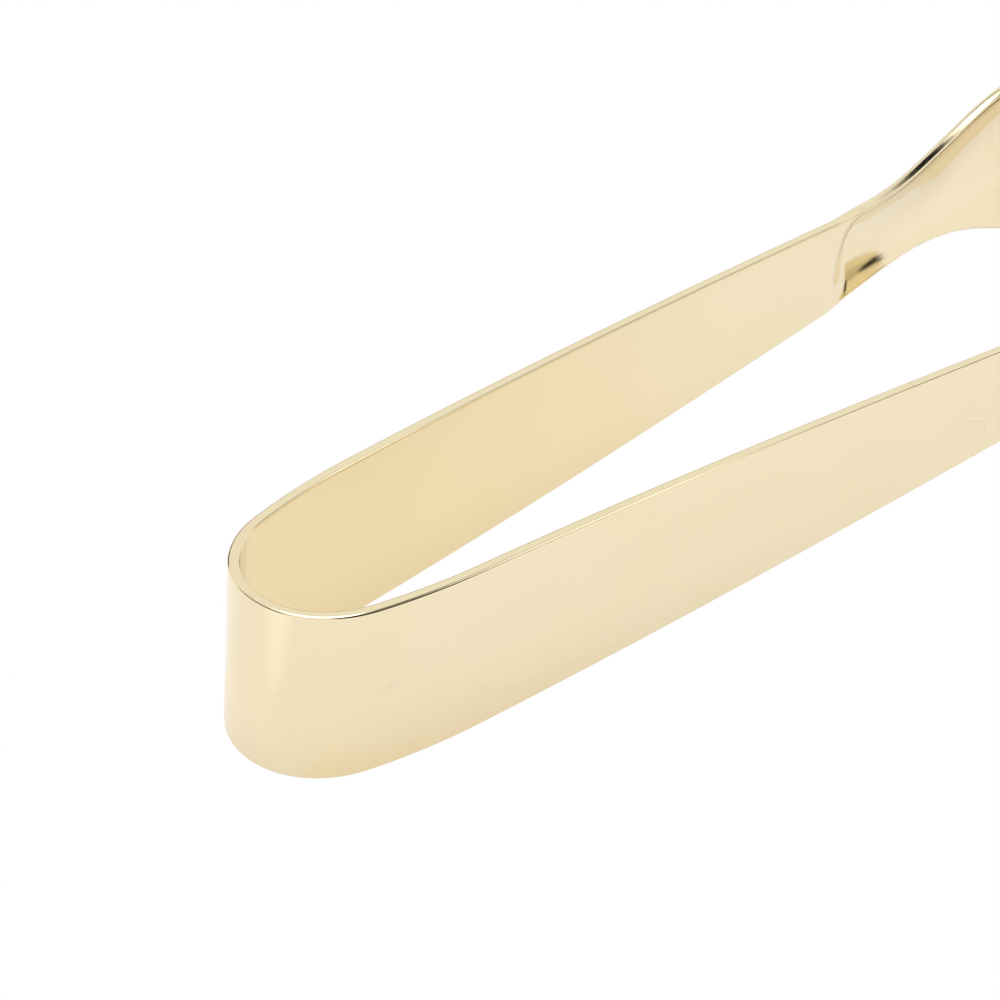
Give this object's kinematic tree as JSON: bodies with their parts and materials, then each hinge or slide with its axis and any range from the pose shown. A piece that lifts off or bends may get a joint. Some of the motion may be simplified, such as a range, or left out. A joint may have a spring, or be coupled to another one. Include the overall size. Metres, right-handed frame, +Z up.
{
  "type": "ice tongs",
  "caption": "Ice tongs bent from a continuous polished metal strip: springy bow, flat tapering arms, narrow necks and hollow toothed claws.",
  "frame": {"origin": "middle of the bounding box's lower face: on the plane of symmetry between the arms, halfway along the tongs, level with the claws' lower rims", "axes": "+X along the tongs from the bow to the claws, +Y towards the left arm, +Z up across the strip's width"},
  "size_m": [0.1556, 0.042, 0.0256],
  "materials": {
    "polished_gold": "polished"
  },
  "bodies": {
    "bow": {"bow": "polished_gold"},
    "left_arm": {"left_arm": "polished_gold", "left_neck": "polished_gold", "left_claw": "polished_gold"},
    "right_arm": {"right_arm": "polished_gold", "right_neck": "polished_gold", "right_claw": "polished_gold"}
  },
  "joints": [
    {"name": "left_arm_flex", "type": "hinge", "parent": "bow", "child": "left_arm", "pos_m": [-0.0596, 0.00855, 0.01281], "axis": [0, 0, -1], "range_deg": [-3, 5.2], "stiffness_Nm_per_rad": 3.4},
    {"name": "right_arm_flex", "type": "hinge", "parent": "bow", "child": "right_arm", "pos_m": [-0.0596, -0.00855, 0.01281], "axis": [0, 0, 1], "range_deg": [-3, 5.2], "stiffness_Nm_per_rad": 3.4}
  ]
}
